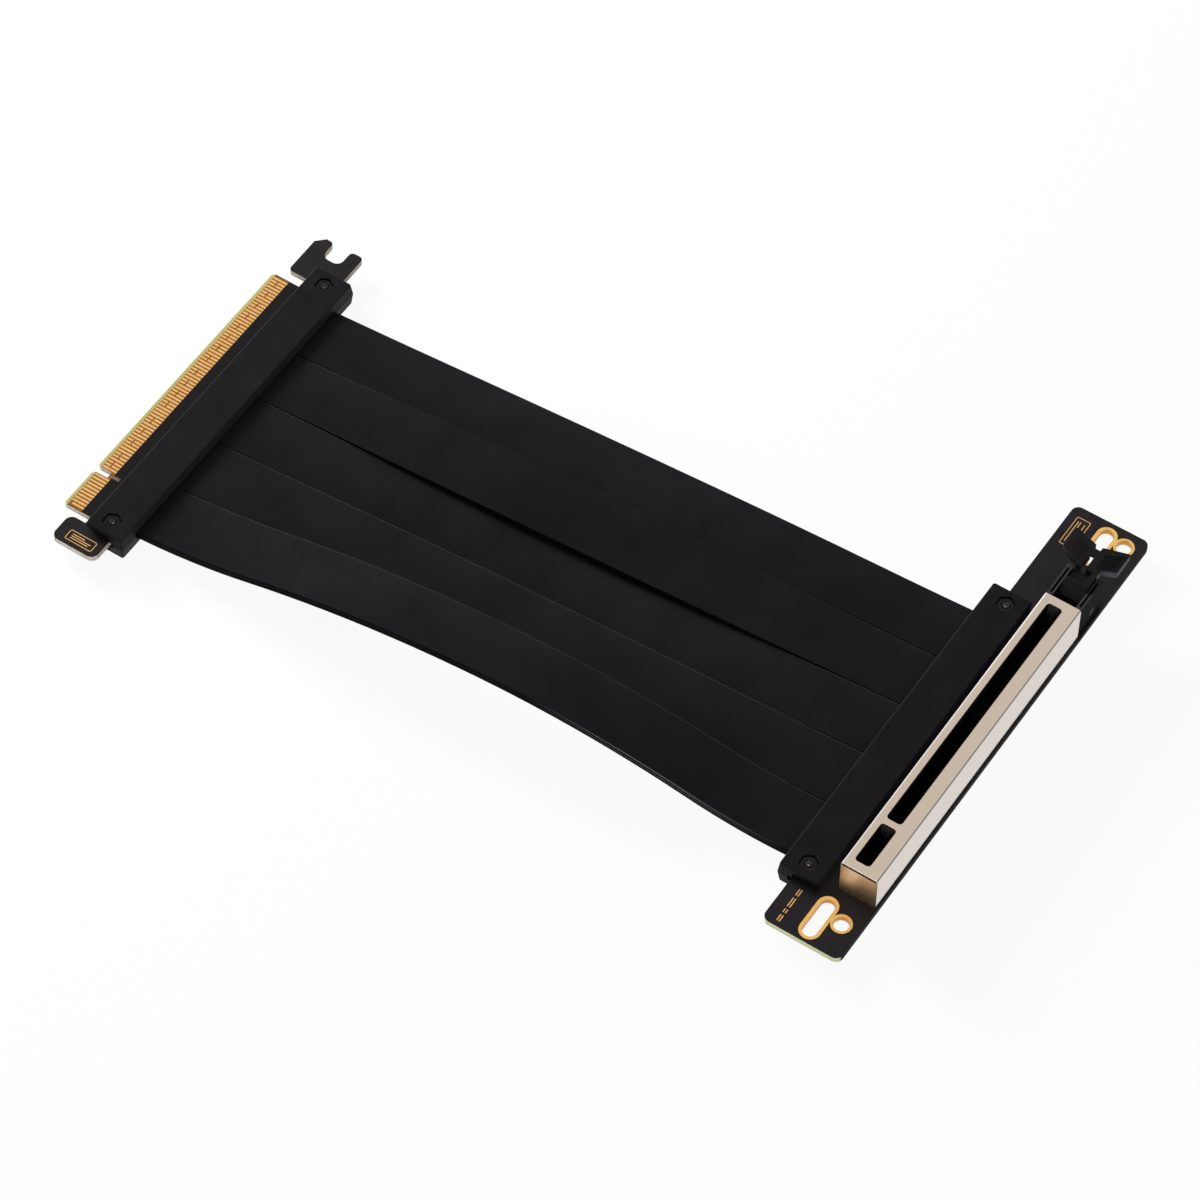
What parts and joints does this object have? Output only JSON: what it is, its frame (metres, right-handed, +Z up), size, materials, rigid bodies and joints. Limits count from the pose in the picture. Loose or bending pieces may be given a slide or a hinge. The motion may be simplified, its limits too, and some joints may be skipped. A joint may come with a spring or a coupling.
{
  "type": "card slot extension cable",
  "caption": "Flexible extension cable for a full-length expansion card slot: edge plug board, flat cable strips in clamps, and a latched card socket on a mounting board.",
  "frame": {"origin": "middle of the object's box, on the plane that the lower covers rest on", "axes": "+X from the plug to the socket, +Y along the slot towards the latch, +Z up"},
  "size_m": [0.2226, 0.1438, 0.0161],
  "materials": {
    "board": "satin",
    "gold": "bright",
    "cover": "matt",
    "fastener": "satin",
    "shell": "polished",
    "housing": "satin",
    "strip": "satin"
  },
  "bodies": {
    "base": {"plug_board": "board", "socket_board": "board", "plug_contacts_upper": "gold", "plug_contacts_lower": "gold", "slot_contacts": "gold", "plug_cover_upper": "cover", "plug_cover_lower": "cover", "socket_cover_upper": "cover", "socket_cover_lower": "cover", "plug_screws": "fastener", "plug_nuts": "fastener", "socket_screws": "fastener", "socket_nuts": "fastener", "slot_shell": "shell", "slot_housing": "housing", "strip_upper_1": "strip", "strip_upper_2": "strip", "strip_upper_3": "strip", "strip_upper_4": "strip", "strip_upper_5": "strip", "strip_lower_1": "strip", "strip_lower_2": "strip", "strip_lower_3": "strip", "strip_lower_4": "strip", "strip_lower_5": "strip"},
    "latch": {"card_latch": "housing"}
  },
  "joints": [
    {"name": "latch_hinge", "type": "hinge", "parent": "base", "child": "latch", "pos_m": [0.104, 0.04465, 0.0075], "axis": [-1, 0, 0], "range_deg": [0, 20]}
  ]
}
